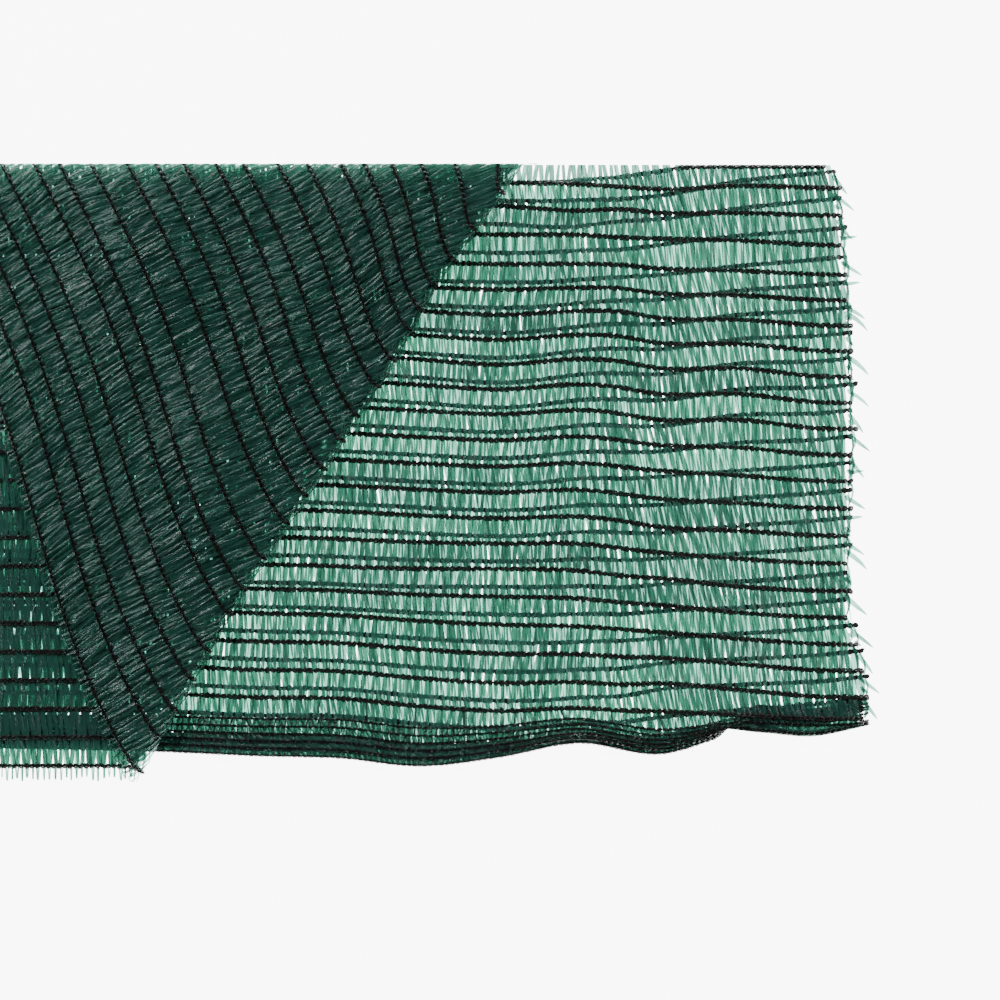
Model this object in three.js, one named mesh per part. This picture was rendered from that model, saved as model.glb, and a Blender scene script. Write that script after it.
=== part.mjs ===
// A cut length of knitted shade netting, folded lengthwise in four, with the top corner turned back.
// Millimetres. X runs along the stitch chains from the left cut, Y across the cloth from the centre fold,
// Z up from the surface that the cloth lies on.
import * as THREE from 'three';
import { mergeVertices } from 'three/addons/utils/BufferGeometryUtils.js';

// The knit: three needles to the inch
const CHAIN_PITCH = 25.4 / 3;
const CHAIN_WIDTH = 1.6;
const CHAIN_RISE = 0.45;
const BAND_CHAINS = 6;
const BASE_CHAINS = 21;
const FLAP_CHAINS = 21;
const FLAP_PITCH = 9;

// The layers, counted from the floor up
const CLOTH = 1;
const LAYER_GAP = 0.4;
const LAYER_STEP = CLOTH + LAYER_GAP;
const layerMiddle = (number) => CLOTH / 2 + (number - 1) * LAYER_STEP;

// Folds: the two lengthwise folds share one axis, the centre fold and the crease have their own.
// The upper base layer starts its own rises a little way beyond the crease.
const TOP = 194.3;
const TOP_FOLD_HEIGHT = (layerMiddle(1) + layerMiddle(4)) / 2;
const TOP_FOLD_Y = TOP - TOP_FOLD_HEIGHT;
const CENTRE_FOLD_HEIGHT = (layerMiddle(3) + layerMiddle(4)) / 2;
const CENTRE_FOLD_Y = (LAYER_STEP + CLOTH) / 2;
const CREASE_HEIGHT = layerMiddle(4) + (LAYER_STEP + CHAIN_RISE) / 2;
const CREASE_STEEPNESS = THREE.MathUtils.degToRad(57.8);
const CREASE_BULGE = CREASE_HEIGHT - layerMiddle(3) + CLOTH / 2;
const CENTRE_CHAIN_Y = 4.7;
const BESIDE_CREASE = 3;
const OPEN_FROM = 3;
const OPEN_FULLY = 12;

// The crease as seen from above, its outer edge, from the tip to the top
const CREASE = [
  { y: -4, x: 50 },
  { y: 2.5, x: 53.7 },
  { y: 24, x: 65.7 },
  { y: 61, x: 86.9 },
  { y: 95, x: 109.3 },
  { y: 130, x: 132 },
  { y: 157, x: 147 },
  { y: TOP, x: 174.1 },
];

// The turned corner: where the row that meets the crease at height y reaches the top cut. The left cut
// trims the rows below one chain.
const TRIMMED_CHAIN = 3;
const FLAP_ROWS = [
  { y: -4, top: -32 },
  { y: CENTRE_CHAIN_Y + TRIMMED_CHAIN * FLAP_PITCH, top: 0 },
  { y: 54, top: 19.6 },
  { y: 100, top: 67 },
  { y: TOP, top: 174.1 },
];
const FLAP_SWAY = 0.018;
const FLAP_SWAY_LEAN = 0.8;

const MIDWAY = 150;

// The two base layers: chain number of each charted line, and its height above the centre fold at each x
const LINES = { top: -0.95, high: 1, middle: 9, low: 17, last: 20, band: 21, hem: 26.4 };
const RUFFLE_REACH = 0.91;
const BASE = [
  { x: 0, high: 182, middle: 119.5, low: 54.4, last: 27.8, band: 20.2, hem: 9.8, ruffle: 0 },
  { x: 65, high: 182, middle: 119.1, low: 53.7, last: 27.2, band: 19.9, hem: 8.2, ruffle: 0 },
  { x: 90, high: 182, middle: 118.8, low: 52.8, last: 26.2, band: 19.3, hem: 7, ruffle: 0 },
  { x: 115, high: 182, middle: 118.2, low: 52.2, last: 25.9, band: 19, hem: 6.3, ruffle: 0.2 },
  { x: 141, high: 181.8, middle: 116.8, low: 50.4, last: 23.4, band: 16.4, hem: 3.8, ruffle: 0 },
  { x: 166, high: 181.7, middle: 115.6, low: 49.2, last: 21.8, band: 17.1, hem: 6.8, ruffle: 1 },
  { x: 191, high: 179.8, middle: 116.9, low: 48.6, last: 22.6, band: 19.3, hem: 11.4, ruffle: 2 },
  { x: 216, high: 179.2, middle: 113.8, low: 46.8, last: 21.2, band: 15.8, hem: 7.9, ruffle: 1.2 },
  { x: 242, high: 179.3, middle: 113.9, low: 44.7, last: 19.9, band: 18.2, hem: 14.9, ruffle: 2.6 },
  { x: 267, high: 178.4, middle: 111.1, low: 43.1, last: 19.3, band: 17.5, hem: 14.1, ruffle: 0.8 },
  { x: 278, high: 178.2, middle: 110.9, low: 42.9, last: 19.3, band: 18, hem: 16.4, ruffle: 0 },
];

// The cross-cut at the right: where each line of a base layer ends
const CROSS_CUT = [
  { line: LINES.top, x: 269.9 },
  { line: 1, x: 272.7 },
  { line: 4, x: 275.5 },
  { line: 7, x: 276 },
  { line: 10, x: 276.9 },
  { line: 13, x: 275.4 },
  { line: 16, x: 275.4 },
  { line: 19, x: 281 },
  { line: LINES.band, x: 281.2 },
  { line: LINES.hem, x: 280.5 },
];
const FRAYED_STRIP = 3;
const STRIP_PARTING = 0.3;
const STRAND_THINNING = 0.55;
const STRAND_THINNING_REACH = 3;

// Chain ends that stick out of the cut: their lengths come round again along the edge
const CHAIN_END_LENGTHS = [0.9, 2.1, 1.3, 1.7, 2.5, 1.1];
const CHAIN_END_FALL = 0.12;
const SELVEDGE_CHAIN_END = { line: 24.5, width: 0.8 };

// Loose tape ends: how far under a chain they start in pitches, how far they reach and fall, and their width
const TAPE_ENDS = [
  { below: 0.22, reach: 4.7, fall: 3.5, width: 1.3 },
  { below: 0.3, reach: 6, fall: 4.6, width: 1.3 },
  { below: 0.26, reach: 1.6, fall: 1.8, width: 1.2 },
  { below: 0.2, reach: 3.4, fall: 5, width: 1.3 },
  { below: 0.36, reach: 4.7, fall: -0.6, width: 1.2 },
  { below: 0.24, reach: 4, fall: 5.2, width: 1.3 },
  { below: 0.35, reach: 2.2, fall: 1.2, width: 1.4 },
  { below: 0.25, reach: 6.3, fall: 5.4, width: 1.6 },
  { below: 0.3, reach: 5.5, fall: 3.4, width: 1.3 },
];
const SHORT_TAPE_END = { below: 0.42, reach: 1.4, fall: 0.4, width: 1.1 };
const TAPE_BEND = { reach: 0.4, fall: 0.25 };
const TIP_TAPER = 0.7;

// Soft rises: centre, half length, half width and height
const BASE_RISES = [
  { x: 205, y: 160, long: 34, wide: 24, height: 0.9 },
  { x: 160, y: 110, long: 30, wide: 40, height: 0.7 },
  { x: 232, y: 78, long: 30, wide: 34, height: 0.9 },
  { x: 150, y: 52, long: 44, wide: 20, height: 0.6 },
];
const FLAP_RISES = [
  { x: 55, y: 165, long: 30, wide: 34, height: 1.4 },
  { x: 112, y: 158, long: 26, wide: 38, height: 1.1 },
  { x: 70, y: 96, long: 22, wide: 36, height: 1.2 },
  { x: 26, y: 112, long: 14, wide: 30, height: 0.8 },
];

// How finely the surface is divided
const HIDDEN_COLUMNS = 5;
const BASE_COLUMNS = 12;
const CREASE_STEPS = 4;
const FLAP_COLUMNS = 9;
const FOLD_STEPS = 4;
const RIB_FOOT = CHAIN_WIDTH / 2;
const JOINED_COLUMNS = HIDDEN_COLUMNS - 1;
const RIBBED_BELOW = 13;

// Reads a column of a table at a place between its rows
function chart(table, key, at, column) {
  const last = table.length - 1;
  let i = 0;
  while (i < last - 1 && table[i + 1][key] < at) i += 1;
  const span = (at - table[i][key]) / (table[i + 1][key] - table[i][key]);
  return THREE.MathUtils.lerp(table[i][column], table[i + 1][column], span);
}

// A soft rise fades out at its rim; several add up
function rise(rises, x, y) {
  let height = 0;
  for (const spot of rises) {
    const away = Math.hypot((x - spot.x) / spot.long, (y - spot.y) / spot.wide);
    if (away < 1) height += spot.height * (1 - away * away) ** 2;
  }
  return height;
}

const creaseEdge = (y) => chart(CREASE, 'y', y, 'x');
const creaseAxis = (y) => creaseEdge(y) - CREASE_BULGE / Math.sin(CREASE_STEEPNESS);
const crossCut = (line) => chart(CROSS_CUT, 'line', line, 'x');

// Height of a base line above the centre fold, for any chain number between the charted ones
function lineHeight(number, x) {
  const named = Object.entries(LINES).map(([name, line]) => ({
    line,
    y: name === 'top' ? TOP : chart(BASE, 'x', x, name),
  }));
  return chart(named, 'line', number, 'y');
}

// A turn about the crease: plan directions along it and out of it
const ALONG = new THREE.Vector3(Math.cos(CREASE_STEEPNESS), Math.sin(CREASE_STEEPNESS), 0);
const OUT = new THREE.Vector3(Math.sin(CREASE_STEEPNESS), -Math.cos(CREASE_STEEPNESS), 0);

function turned(facing, angle) {
  const out = facing.dot(OUT);
  const sine = Math.sin(angle);
  const cosine = Math.cos(angle);
  return new THREE.Vector3()
    .addScaledVector(ALONG, facing.dot(ALONG))
    .addScaledVector(OUT, out * cosine - facing.z * sine)
    .setZ(out * sine + facing.z * cosine);
}

// A base row: its place and facing at a column. Rows are lines across the layer's width.
function basePoint(row, column) {
  const number = row.line;
  let y = row.end && column < HIDDEN_COLUMNS ? TOP_FOLD_Y : lineHeight(number, MIDWAY);
  let x = 0;
  for (let pass = 0; pass < 3; pass += 1) {
    if (column < HIDDEN_COLUMNS) x = (creaseAxis(y) * column) / HIDDEN_COLUMNS;
    else {
      const from = creaseEdge(y) + BESIDE_CREASE;
      const to = crossCut(number) - FRAYED_STRIP - STRIP_PARTING;
      x = THREE.MathUtils.lerp(from, to, (column - HIDDEN_COLUMNS) / BASE_COLUMNS);
    }
    if (!row.end) y = lineHeight(number, x);
    else if (column >= HIDDEN_COLUMNS) y = TOP;
  }
  let z = layerMiddle(row.layer);
  let rib = 0;
  if (row.layer === 2) {
    const open = THREE.MathUtils.smoothstep(x - creaseEdge(y), OPEN_FROM, OPEN_FULLY);
    const banded = Math.max(0, number - LINES.band) / (LINES.hem - LINES.band);
    z += open * rise(BASE_RISES, x, y);
    z += open * chart(BASE, 'x', x, 'ruffle') * Math.sin(Math.PI * Math.min(1, banded / RUFFLE_REACH));
    if (column > HIDDEN_COLUMNS) rib = row.rib * CHAIN_RISE;
  }
  const facing = new THREE.Vector3(0, 0, row.layer === 2 ? 1 : -1);
  return { place: new THREE.Vector3(x, y, z), facing, rib };
}

// A row of a lengthwise fold at the top, which joins a base layer to the layers that cover it
function topFoldPoint(row, column) {
  const x = (creaseAxis(TOP_FOLD_Y) * column) / HIDDEN_COLUMNS;
  const y = TOP_FOLD_Y + row.radius * Math.cos(row.angle);
  const z = TOP_FOLD_HEIGHT + row.radius * Math.sin(row.angle);
  const facing = new THREE.Vector3(0, Math.cos(row.angle), Math.sin(row.angle)).multiplyScalar(row.outward);
  return { place: new THREE.Vector3(x, y, z), facing, rib: 0 };
}

// A row of the covering pair: flat, round the crease, then back over itself to the top cut
function coverPoint(row, column) {
  const axis = creaseAxis(row.y);
  if (column <= HIDDEN_COLUMNS) {
    const x = (axis * column) / HIDDEN_COLUMNS;
    const rib = column === HIDDEN_COLUMNS ? 0 : row.ribFlat * CHAIN_RISE;
    return { place: new THREE.Vector3(x, row.y, row.z), facing: row.facing, rib };
  }
  const radius = CREASE_HEIGHT - row.z;
  const step = column - HIDDEN_COLUMNS;
  if (step < CREASE_STEPS) {
    const angle = (Math.PI * step) / CREASE_STEPS;
    const place = new THREE.Vector3(axis, row.y, CREASE_HEIGHT - radius * Math.cos(angle));
    place.addScaledVector(OUT, radius * Math.sin(angle));
    const rib = (row.ribTurned * CHAIN_RISE * step) / CREASE_STEPS;
    return { place, facing: turned(row.facing, angle), rib };
  }
  const top = chart(FLAP_ROWS, 'y', row.y, 'top');
  const whole = top < 0 ? axis / (axis - top) : 1;
  const along = (whole * (step - CREASE_STEPS)) / FLAP_COLUMNS;
  const length = Math.hypot(axis - top, TOP - row.y);
  const sway = -FLAP_SWAY * length * Math.sin(2 * Math.PI * along ** FLAP_SWAY_LEAN);
  const x = THREE.MathUtils.lerp(axis, top, along) + sway;
  const y = THREE.MathUtils.lerp(row.y, TOP, along);
  const z = 2 * CREASE_HEIGHT - row.z + rise(FLAP_RISES, x, y);
  const facing = turned(row.facing, Math.PI);
  return { place: new THREE.Vector3(x, y, z), facing, rib: row.ribTurned * CHAIN_RISE };
}

// The plain faces of both covering layers are divided at the same chains, so that they stay parallel
const coverCoarse = (chain) => chain % 2 === 0 || chain === TRIMMED_CHAIN;

const UP = new THREE.Vector3(0, 0, 1);
const DOWN = new THREE.Vector3(0, 0, -1);

// Three rows to a chain: its two feet and its ridge
const ridge = [
  { shift: -RIB_FOOT, rib: 0 },
  { shift: 0, rib: 1 },
  { shift: RIB_FOOT, rib: 0 },
];

// All rows of the cloth in order across its full width, from one selvedge to the other
function clothRows() {
  const rows = [];
  const upperBase = { point: basePoint, layer: 2, columns: HIDDEN_COLUMNS + BASE_COLUMNS };
  rows.push({ ...upperBase, line: LINES.hem, rib: 0, coarse: true });
  for (let half = 2 * BAND_CHAINS - 2; half >= 0; half -= 1) {
    const rib = half % 2 === 0 ? 1 : 0;
    rows.push({ ...upperBase, line: LINES.band + half / 2, rib, coarse: half % 3 === 0 });
  }
  for (let chain = BASE_CHAINS - 1; chain >= 0; chain -= 1) {
    for (const { shift, rib } of ridge) {
      const coarse = rib === 1 && chain % 3 === 1;
      rows.push({ ...upperBase, line: chain - shift / CHAIN_PITCH, rib, coarse });
    }
  }
  rows.push({ ...upperBase, line: LINES.top, rib: 0, end: true, coarse: true });

  const fold = { point: topFoldPoint, columns: JOINED_COLUMNS, coarse: true };
  const turn = (step) => -Math.PI / 2 + (Math.PI * step) / FOLD_STEPS;
  const innerRadius = layerMiddle(3) - TOP_FOLD_HEIGHT;
  for (let step = 1; step < FOLD_STEPS; step += 1) {
    rows.push({ ...fold, radius: innerRadius, angle: turn(step), outward: -1 });
  }

  const cover = { point: coverPoint, columns: HIDDEN_COLUMNS + CREASE_STEPS + FLAP_COLUMNS };
  const third = { ...cover, z: layerMiddle(3), facing: DOWN, ribFlat: 0 };
  rows.push({ ...third, y: TOP_FOLD_Y, ribTurned: 0, coarse: true });
  for (let chain = FLAP_CHAINS - 1; chain >= 0; chain -= 1) {
    for (const { shift, rib } of ridge) {
      const coarse = rib === 1 && coverCoarse(chain);
      rows.push({ ...third, y: CENTRE_CHAIN_Y + chain * FLAP_PITCH - shift, ribTurned: rib, coarse });
    }
  }
  const centreRadius = layerMiddle(4) - CENTRE_FOLD_HEIGHT;
  for (let step = 0; step <= FOLD_STEPS; step += 1) {
    const angle = turn(step);
    const facing = new THREE.Vector3(0, -Math.cos(angle), Math.sin(angle));
    const y = CENTRE_FOLD_Y + centreRadius * facing.y;
    const z = CENTRE_FOLD_HEIGHT + centreRadius * facing.z;
    rows.push({ ...cover, y, z, facing, ribFlat: 0, ribTurned: 0, coarse: true });
  }
  const fourth = { ...cover, z: layerMiddle(4), facing: UP, ribTurned: 0 };
  for (let chain = 0; chain < RIBBED_BELOW; chain += 1) {
    for (const { shift, rib } of ridge) {
      const coarse = rib === 1 && coverCoarse(chain);
      rows.push({ ...fourth, y: CENTRE_CHAIN_Y + chain * FLAP_PITCH + shift, ribFlat: rib, coarse });
    }
  }
  for (let chain = RIBBED_BELOW + 1; chain < FLAP_CHAINS; chain += 2) {
    rows.push({ ...fourth, y: CENTRE_CHAIN_Y + chain * FLAP_PITCH, ribFlat: 0, coarse: true });
  }
  rows.push({ ...fourth, y: TOP_FOLD_Y, ribFlat: 0, coarse: true });

  const outerRadius = layerMiddle(4) - TOP_FOLD_HEIGHT;
  for (let step = FOLD_STEPS - 1; step > 0; step -= 1) {
    rows.push({ ...fold, radius: outerRadius, angle: turn(step), outward: 1 });
  }

  const lowerBase = { ...upperBase, layer: 1, rib: 0, coarse: true };
  rows.push({ ...lowerBase, line: LINES.top, end: true });
  for (let chain = 1; chain < BASE_CHAINS; chain += 3) rows.push({ ...lowerBase, line: chain });
  rows.push({ ...lowerBase, line: LINES.band });
  rows.push({ ...lowerBase, line: LINES.hem });
  return rows;
}

// A closed sheet from its rows: a fine face with the chains, a plain back, and walls round the rim.
// The back's squares are split the same way in plan on every layer, so that two backs stay parallel.
function sheetGeometry(rows) {
  const points = [];
  const triangles = [];
  const front = [];
  const back = [];
  for (const row of rows) {
    const fronts = [];
    const backs = [];
    for (let column = 0; column <= row.columns; column += 1) {
      const { place, facing, rib } = row.point(row, column);
      fronts.push(points.push(place.clone().addScaledVector(facing, CLOTH / 2 + rib)) - 1);
      if (row.coarse) backs.push(points.push(place.clone().addScaledVector(facing, -CLOTH / 2)) - 1);
    }
    front.push(fronts);
    back.push(backs);
  }
  const quad = (a, b, c, d) => triangles.push(a, b, c, a, c, d);
  const cells = (upper, lower) => Math.min(rows[upper].columns, rows[lower].columns);
  const coarse = rows.map((row, index) => index).filter((index) => rows[index].coarse);

  for (let row = 1; row < rows.length; row += 1) {
    for (let column = 0; column < cells(row - 1, row); column += 1) {
      quad(front[row - 1][column], front[row - 1][column + 1], front[row][column + 1], front[row][column]);
    }
  }
  let before = 0;
  for (let step = 1; step < coarse.length; step += 1) {
    const from = coarse[step - 1];
    const to = coarse[step];
    const count = cells(from, to);
    const climbs = points[back[to][0]].y > points[back[from][0]].y;
    for (let column = 0; column < count; column += 1) {
      const corners = [back[from][column], back[to][column], back[to][column + 1], back[from][column + 1]];
      if (climbs) corners.push(corners.shift());
      quad(...corners);
    }
    for (let row = from; row < to; row += 1) {
      triangles.push(back[from][0], front[row][0], front[row + 1][0]);
      triangles.push(back[from][count], front[row + 1][count], front[row][count]);
    }
    triangles.push(back[from][0], front[to][0], back[to][0]);
    triangles.push(back[from][count], back[to][count], front[to][count]);
    for (let column = Math.min(before, count); column < Math.max(before, count); column += 1) {
      const rim = [front[from][column], back[from][column], back[from][column + 1], front[from][column + 1]];
      quad(...(count > before ? rim : rim.reverse()));
    }
    before = count;
  }
  const end = rows.length - 1;
  for (let column = 0; column < before; column += 1) {
    quad(front[end][column], front[end][column + 1], back[end][column + 1], back[end][column]);
  }
  return closed(points, triangles);
}

// A geometry from points and triangles, turned outwards if it came out inside out
function closed(points, triangles) {
  const geometry = new THREE.BufferGeometry();
  geometry.setAttribute('position', new THREE.Float32BufferAttribute(points.flatMap((p) => p.toArray()), 3));
  let volume = 0;
  for (let i = 0; i < triangles.length; i += 3) {
    const [a, b, c] = [0, 1, 2].map((k) => points[triangles[i + k]]);
    volume += a.dot(new THREE.Vector3().crossVectors(b, c)) / 6;
  }
  geometry.setIndex(volume < 0 ? [...triangles].reverse() : triangles);
  return geometry;
}

// Where a line of a base layer meets the cut
function cutPoint(line) {
  const x = crossCut(line);
  return new THREE.Vector2(x, lineHeight(line, x));
}

// A strand as a tooth of the strip's outline: down its upper side to the tip and back to its root
function tooth(root, width, bends) {
  const upper = [];
  const lower = [];
  for (const { reach, fall, taper } of bends) {
    const across = new THREE.Vector2(fall, reach).normalize().multiplyScalar((width * taper) / 2);
    const at = new THREE.Vector2(root.x + reach, root.y - fall);
    upper.push(at.clone().add(across));
    lower.unshift(at.sub(across));
  }
  const rim = (side) => new THREE.Vector2(root.x, root.y + (side * width) / 2);
  return [rim(1), ...upper, ...lower, rim(-1)];
}

function chainTooth(line, length, width = CHAIN_WIDTH) {
  return tooth(cutPoint(line), width, [{ reach: length, fall: CHAIN_END_FALL * length, taper: TIP_TAPER }]);
}

function tapeTooth(line, { reach, fall, width }) {
  return tooth(cutPoint(line), width, [
    { reach: TAPE_BEND.reach * reach, fall: TAPE_BEND.fall * fall, taper: 1 },
    { reach, fall, taper: TIP_TAPER },
  ]);
}

// One base layer's frayed end: a narrow strip parted from the sheet, with its chain ends and tape ends
function frayedEnd(layer) {
  const teeth = [];
  for (let chain = 0; chain < BASE_CHAINS; chain += 1) {
    teeth.push(chainTooth(chain, CHAIN_END_LENGTHS[(chain + 2 * layer) % CHAIN_END_LENGTHS.length]));
    if (chain === BASE_CHAINS - 1) break;
    const habit = TAPE_ENDS[(chain * 4 + layer * 5) % TAPE_ENDS.length];
    teeth.push(tapeTooth(chain + habit.below, habit));
    if (chain % 2 === layer % 2) {
      teeth.push(tapeTooth(chain + habit.below + SHORT_TAPE_END.below, SHORT_TAPE_END));
    }
  }
  teeth.push(chainTooth(SELVEDGE_CHAIN_END.line, CHAIN_END_LENGTHS[layer], SELVEDGE_CHAIN_END.width));
  const stations = CROSS_CUT.map(({ line }) => cutPoint(line)).reverse();
  const inner = stations.map(({ x, y }) => new THREE.Vector2(x - FRAYED_STRIP, y));
  const outline = new THREE.Shape([stations[0], ...inner, stations.at(-1), ...teeth.flat()]);
  const settings = { depth: CLOTH, bevelEnabled: false, curveSegments: 1 };
  const geometry = new THREE.ExtrudeGeometry(outline, settings);
  const position = geometry.getAttribute('position');
  for (let i = 0; i < position.count; i += 1) {
    const beyond = position.getX(i) - chart(stations, 'y', position.getY(i), 'x');
    const out = THREE.MathUtils.clamp(beyond / STRAND_THINNING_REACH, 0, 1);
    position.setZ(i, position.getZ(i) * (1 - STRAND_THINNING * out));
  }
  geometry.translate(0, 0, layerMiddle(layer) - CLOTH / 2);
  geometry.deleteAttribute('normal');
  geometry.deleteAttribute('uv');
  return mergeVertices(geometry);
}

function named(name, geometry, color) {
  const material = new THREE.MeshStandardMaterial({ color, roughness: 0.5, metalness: 0 });
  const mesh = new THREE.Mesh(geometry, material);
  mesh.name = name;
  return mesh;
}

const part = new THREE.Group();
part.add(named('net_sheet', sheetGeometry(clothRows()), 0x2c6b56));
part.add(named('frayed_end_upper', frayedEnd(2), 0x6fb497));
part.add(named('frayed_end_lower', frayedEnd(1), 0x6fb497));

// The origin is under the middle of the whole, on the surface it lies on
const extent = new THREE.Box3().setFromObject(part);
const middle = extent.getCenter(new THREE.Vector3());
part.position.set(-middle.x, -middle.y, -extent.min.z);

export default part;
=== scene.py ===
"""The looks of a folded length of knitted shade netting: green tape in zigzags between dark stitch chains.

The net is knitted flat by geometry nodes, stitch by stitch, and each point is then carried onto the folds.
Sizes are in millimetres in the cloth's own frame until the last step.
"""
import math

import bmesh
import bpy
import numpy as np
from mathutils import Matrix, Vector


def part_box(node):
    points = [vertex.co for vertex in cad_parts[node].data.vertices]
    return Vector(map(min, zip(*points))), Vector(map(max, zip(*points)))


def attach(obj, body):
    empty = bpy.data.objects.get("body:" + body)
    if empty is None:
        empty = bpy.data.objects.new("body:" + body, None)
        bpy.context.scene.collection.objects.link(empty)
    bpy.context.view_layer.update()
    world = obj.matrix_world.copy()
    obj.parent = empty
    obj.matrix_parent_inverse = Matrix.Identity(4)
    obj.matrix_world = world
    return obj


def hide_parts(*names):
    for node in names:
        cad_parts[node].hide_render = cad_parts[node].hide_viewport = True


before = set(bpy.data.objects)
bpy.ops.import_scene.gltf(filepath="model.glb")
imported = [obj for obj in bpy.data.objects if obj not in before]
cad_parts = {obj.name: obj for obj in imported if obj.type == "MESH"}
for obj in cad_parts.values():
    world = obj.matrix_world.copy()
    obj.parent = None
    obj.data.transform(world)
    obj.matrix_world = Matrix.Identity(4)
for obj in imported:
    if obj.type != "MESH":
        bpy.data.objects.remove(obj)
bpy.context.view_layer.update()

# The layers and their folds, as the solids have them
CLOTH = 1.0
LAYER_STEP = 1.4
CHAIN_RISE = 0.45
TOP = 194.3
STEEPNESS = math.radians(57.8)
CENTRE_CHAIN_Y = 4.7
FLAP_PITCH = 9.0
FLAP_CHAINS = 21
BASE_CHAINS = 21
SELVEDGE_CHAINS = 6


def layer_middle(number):
    return CLOTH / 2 + (number - 1) * LAYER_STEP


TOP_FOLD_HEIGHT = (layer_middle(1) + layer_middle(4)) / 2
TOP_FOLD_Y = TOP - TOP_FOLD_HEIGHT
CENTRE_FOLD_HEIGHT = (layer_middle(3) + layer_middle(4)) / 2
CENTRE_FOLD_Y = (LAYER_STEP + CLOTH) / 2
CREASE_HEIGHT = layer_middle(4) + (LAYER_STEP + CHAIN_RISE) / 2
CREASE_BULGE = CREASE_HEIGHT - layer_middle(3) + CLOTH / 2
JOINED_SHARE = 0.8

# The crease's outer edge from the tip to the top: height above the centre fold, and place along the chains
CREASE = np.array([
    (-4, 50), (2.5, 53.7), (24, 65.7), (61, 86.9), (95, 109.3), (130, 132), (157, 147), (TOP, 174.1),
])

# The turned corner: where the chain that meets the crease at a height reaches the top cut, how far each
# chain lies above an even spacing, where along the chains that sets in, and how much they sway
FLAP_ROWS = np.array([(-4, -32), (31.7, 0), (54, 19.6), (100, 67), (TOP, 174.1)])
FLAP_SETTLE = np.array([
    (0, -0.6), (1, 1.5), (2, 1), (3, 1.5), (4, 1.3), (5, 4), (6, 2.9), (7, 3.4), (8, 5.5), (9, 5.3),
    (10, 4.8), (11, 4.7), (12, 3.3), (13, 3.8), (14, 3), (15, 3.4), (16, 0.8), (17, -0.6), (18, -1.4),
    (19, -1), (20, 1.7),
])
SETTLE_FROM = 42
SETTLE_TO = 56
FLAP_SWAY = 0.018
FLAP_SWAY_LEAN = 0.8

# The two base layers: the chain number of each charted line, then its height at each place along the chains.
# Up to 267, the heights of middle from 141, of low from 90 and of high from 191 were not chosen by hand: a
# program traced them along the photo's chains, and they were rounded
LINES = {"top": -0.95, "high": 1, "middle": 9, "low": 17, "last": 20, "band": 21, "hem": 26.4}
BASE_COLUMNS = ("x", "high", "middle", "low", "last", "band", "hem", "ruffle")
BASE_ROWS = np.array([
    (0, 182, 119.5, 54.4, 27.8, 20.2, 9.8, 0),
    (65, 182, 119.1, 53.7, 27.2, 19.9, 8.2, 0),
    (90, 182, 118.8, 52.8, 26.2, 19.3, 7, 0),
    (115, 182, 118.2, 52.2, 25.9, 19, 6.3, 0.2),
    (141, 181.8, 116.8, 50.4, 23.4, 16.4, 3.8, 0),
    (166, 181.7, 115.6, 49.2, 21.8, 17.1, 6.8, 1),
    (191, 179.8, 116.9, 48.6, 22.6, 19.3, 11.4, 2),
    (216, 179.2, 113.8, 46.8, 21.2, 15.8, 7.9, 1.2),
    (242, 179.3, 113.9, 44.7, 19.9, 18.2, 14.9, 2.6),
    (267, 178.4, 111.1, 43.1, 19.3, 17.5, 14.1, 0.8),
    (278, 178.2, 110.9, 42.9, 19.3, 18, 16.4, 0),
])
BASE = dict(zip(BASE_COLUMNS, BASE_ROWS.T))
RUFFLE_REACH = 0.91

# The hem where it is folded back under itself: the lines before the fold, how far apart the rest lie, the
# lines that the turn takes, how far the rest lies off its layer, and where along the chains it sets in
TUCK_LINES = 1.3
TUCK_PITCH = 2.3
TUCK_TURN = 0.6
UPPER_TUCK_DROP = 0.6
LOWER_TUCK_RISE = 0.5
TUCK_FROM = 233
TUCK_TO = 248

# The cross-cut at the right: the chain number and where it ends
CROSS_CUT = np.array([
    (-0.95, 269.9), (1, 272.7), (4, 275.5), (7, 276), (10, 276.9), (13, 275.4), (16, 275.4), (19, 281),
    (21, 281.2), (26.4, 280.5),
])
CHAIN_END_LENGTHS = np.array([0.9, 2.1, 1.3, 1.7, 2.5, 1.1])

# How far the lower base layer's chains lie above the upper one's, at each place along the chains
LOWER_SHIFT = np.array([
    (0, -5.7), (178, -5.7), (185, -5.4), (204, -3.8), (223, -0.95), (242, 1.6), (261, 4.1), (280, 6.3),
])

# Soft rises: centre, half length, half width and height. On the base layers they set in past the crease
BASE_RISES = (
    (205, 160, 34, 24, 0.9), (160, 110, 30, 40, 0.7), (232, 78, 30, 34, 0.9), (150, 52, 44, 20, 0.6),
)
BASE_RISES_FROM = 3
BASE_RISES_TO = 12
FLAP_RISES = ((55, 165, 30, 34, 1.4), (112, 158, 26, 38, 1.1), (70, 96, 22, 36, 1.2), (26, 112, 14, 30, 0.8))

# Loose tape ends: how far below a chain they start in pitches, how far they reach and fall, and their width
TAPE_ENDS = (
    (0.22, 4.7, 3.5, 1.3), (0.3, 6, 4.6, 1.3), (0.26, 1.6, 1.8, 1.2), (0.2, 3.4, 5, 1.3),
    (0.36, 4.7, -0.6, 1.2),
    (0.24, 4, 5.2, 1.3), (0.35, 2.2, 1.2, 1.4), (0.25, 6.3, 5.4, 1.6), (0.3, 5.5, 3.4, 1.3),
)
SHORT_TAPE_END = (0.42, 1.4, 0.4, 1.1)

# The knit: the length of a stitch, the width of the tape, the radius of the yarn, the least gap between two
# chains, and the slant of a tape leg in stitches
STITCH = 1.72
TAPE_WIDTH = 1.7
YARN_RADIUS = 0.3
LEAST_PITCH = 0.5
ZIGZAG = 0.32

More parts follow.
